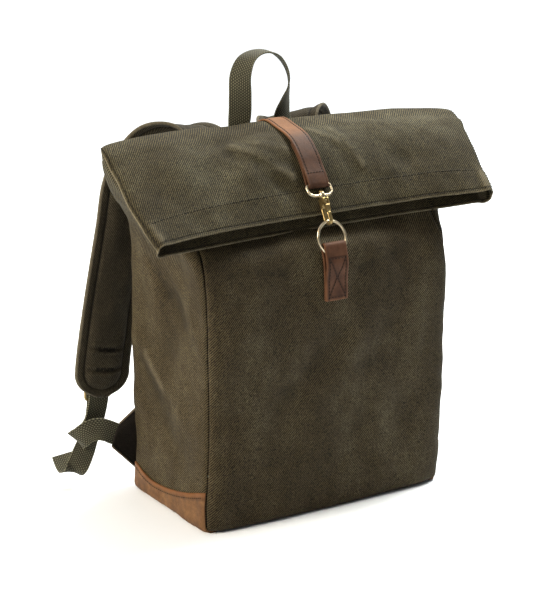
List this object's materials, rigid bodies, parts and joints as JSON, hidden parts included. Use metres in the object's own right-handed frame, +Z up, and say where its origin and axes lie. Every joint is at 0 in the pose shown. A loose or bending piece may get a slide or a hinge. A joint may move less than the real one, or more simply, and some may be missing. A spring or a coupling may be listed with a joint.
{
  "type": "roll-top backpack",
  "caption": "Waxed canvas roll-top backpack with a leather base, leather closing strap on a brass snap hook, padded shoulder straps and a webbing grab handle.",
  "frame": {"origin": "middle of the leather base, on the floor", "axes": "+Z up, front of the bag towards -Y, +X to the right as seen from the front"},
  "size_m": [0.457, 0.2411, 0.4845],
  "materials": {
    "canvas": "waxed cotton canvas, dark olive brown, matt with waxy highlights",
    "pad_canvas": "waxed cotton canvas, dark olive brown, matt",
    "leather": "oiled reddish brown leather",
    "base_leather": "oiled tan brown leather",
    "webbing": "coarse olive grey cotton webbing",
    "brass": "antique brass, satin"
  },
  "bodies": {
    "bag": {"front_panel": "canvas", "wrap_panel": "canvas", "base_leather": "base_leather", "closing_strap": "leather", "strap_loop": "brass", "snap_hook": "brass", "catch_ring": "brass", "ring_tab": "leather", "grab_handle": "webbing", "shoulder_pad_left": "pad_canvas", "shoulder_pad_right": "pad_canvas", "adjuster_left": "brass", "adjuster_right": "brass", "lower_webbing_left": "webbing", "lower_webbing_right": "webbing", "anchor_left": "pad_canvas", "anchor_right": "pad_canvas"},
    "gate": {"hook_gate": "brass"}
  },
  "joints": [
    {"name": "gate_hinge", "type": "hinge", "parent": "bag", "child": "gate", "pos_m": [0.00043, -0.0742, 0.34158], "axis": [1, 0, 0], "range_deg": [0, 14], "stiffness_Nm_per_rad": 0.002}
  ]
}
